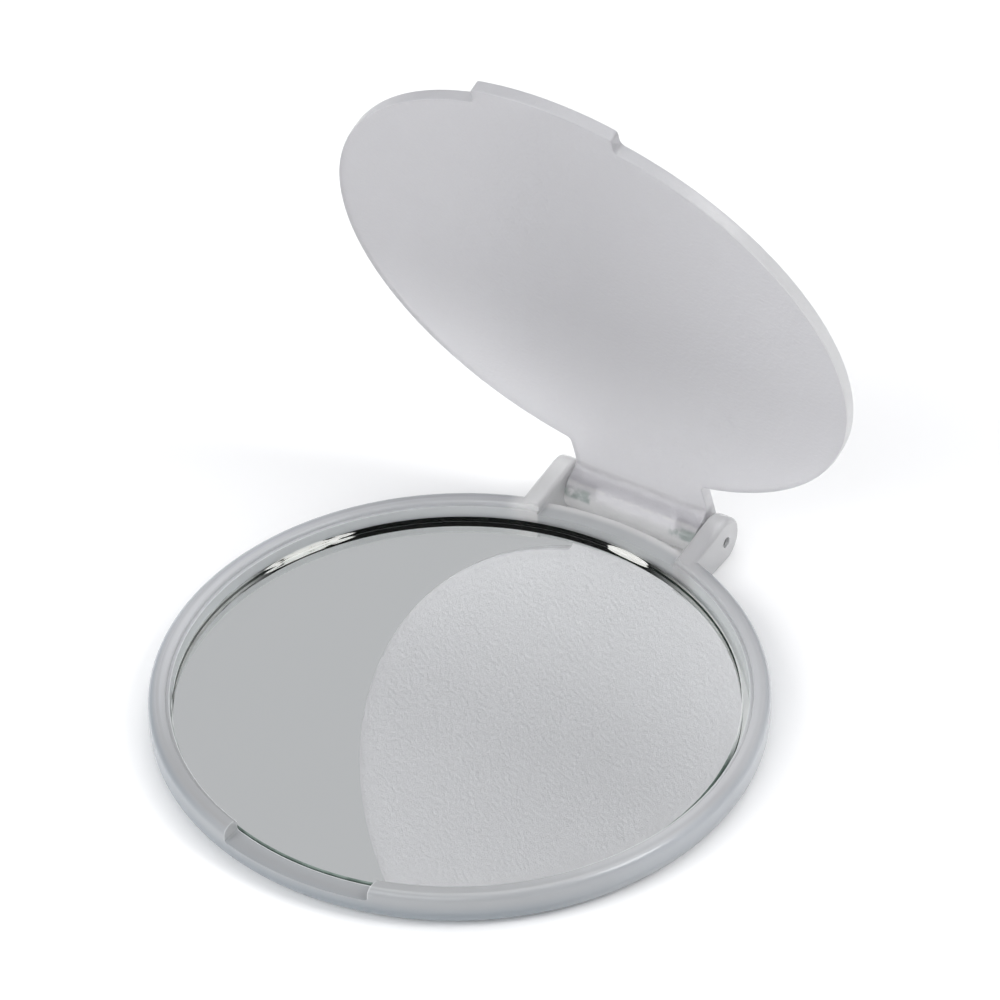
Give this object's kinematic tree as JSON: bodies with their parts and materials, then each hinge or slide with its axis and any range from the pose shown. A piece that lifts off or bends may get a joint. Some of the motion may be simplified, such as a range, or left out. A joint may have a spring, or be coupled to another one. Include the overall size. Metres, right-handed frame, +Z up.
{
  "type": "compact mirror",
  "caption": "Round folding pocket mirror: a shallow frosted plastic tray holds a flat glass mirror under a thin hinged lid with a lift tab that drops into a notch in the rim.",
  "frame": {"origin": "centre of the tray's flat underside", "axes": "+Z up out of the mirror's face, +X along the hinge axis, +Y from the centre of the tray to the hinge"},
  "size_m": [0.062, 0.0682, 0.0658],
  "materials": {
    "frosted_plastic": "frosted, translucent, with fine mould grain",
    "clear_glass": "polished, ground edges",
    "silver_coat": "silvered under the glass, grey paint below",
    "tape": "matt double-sided tape",
    "pin_steel": "drawn steel wire"
  },
  "bodies": {
    "base": {"base_tray": "frosted_plastic", "mirror_glass": "clear_glass", "mirror_backing": "silver_coat", "adhesive_pad": "tape", "hinge_pin_left": "pin_steel", "hinge_pin_right": "pin_steel"},
    "cover": {"lid": "frosted_plastic"}
  },
  "joints": [
    {"name": "lid_hinge", "type": "hinge", "parent": "base", "child": "cover", "pos_m": [0, 0.0346, 0.0026], "axis": [-1, 0, 0], "range_deg": [-72.6, 107.4]}
  ]
}
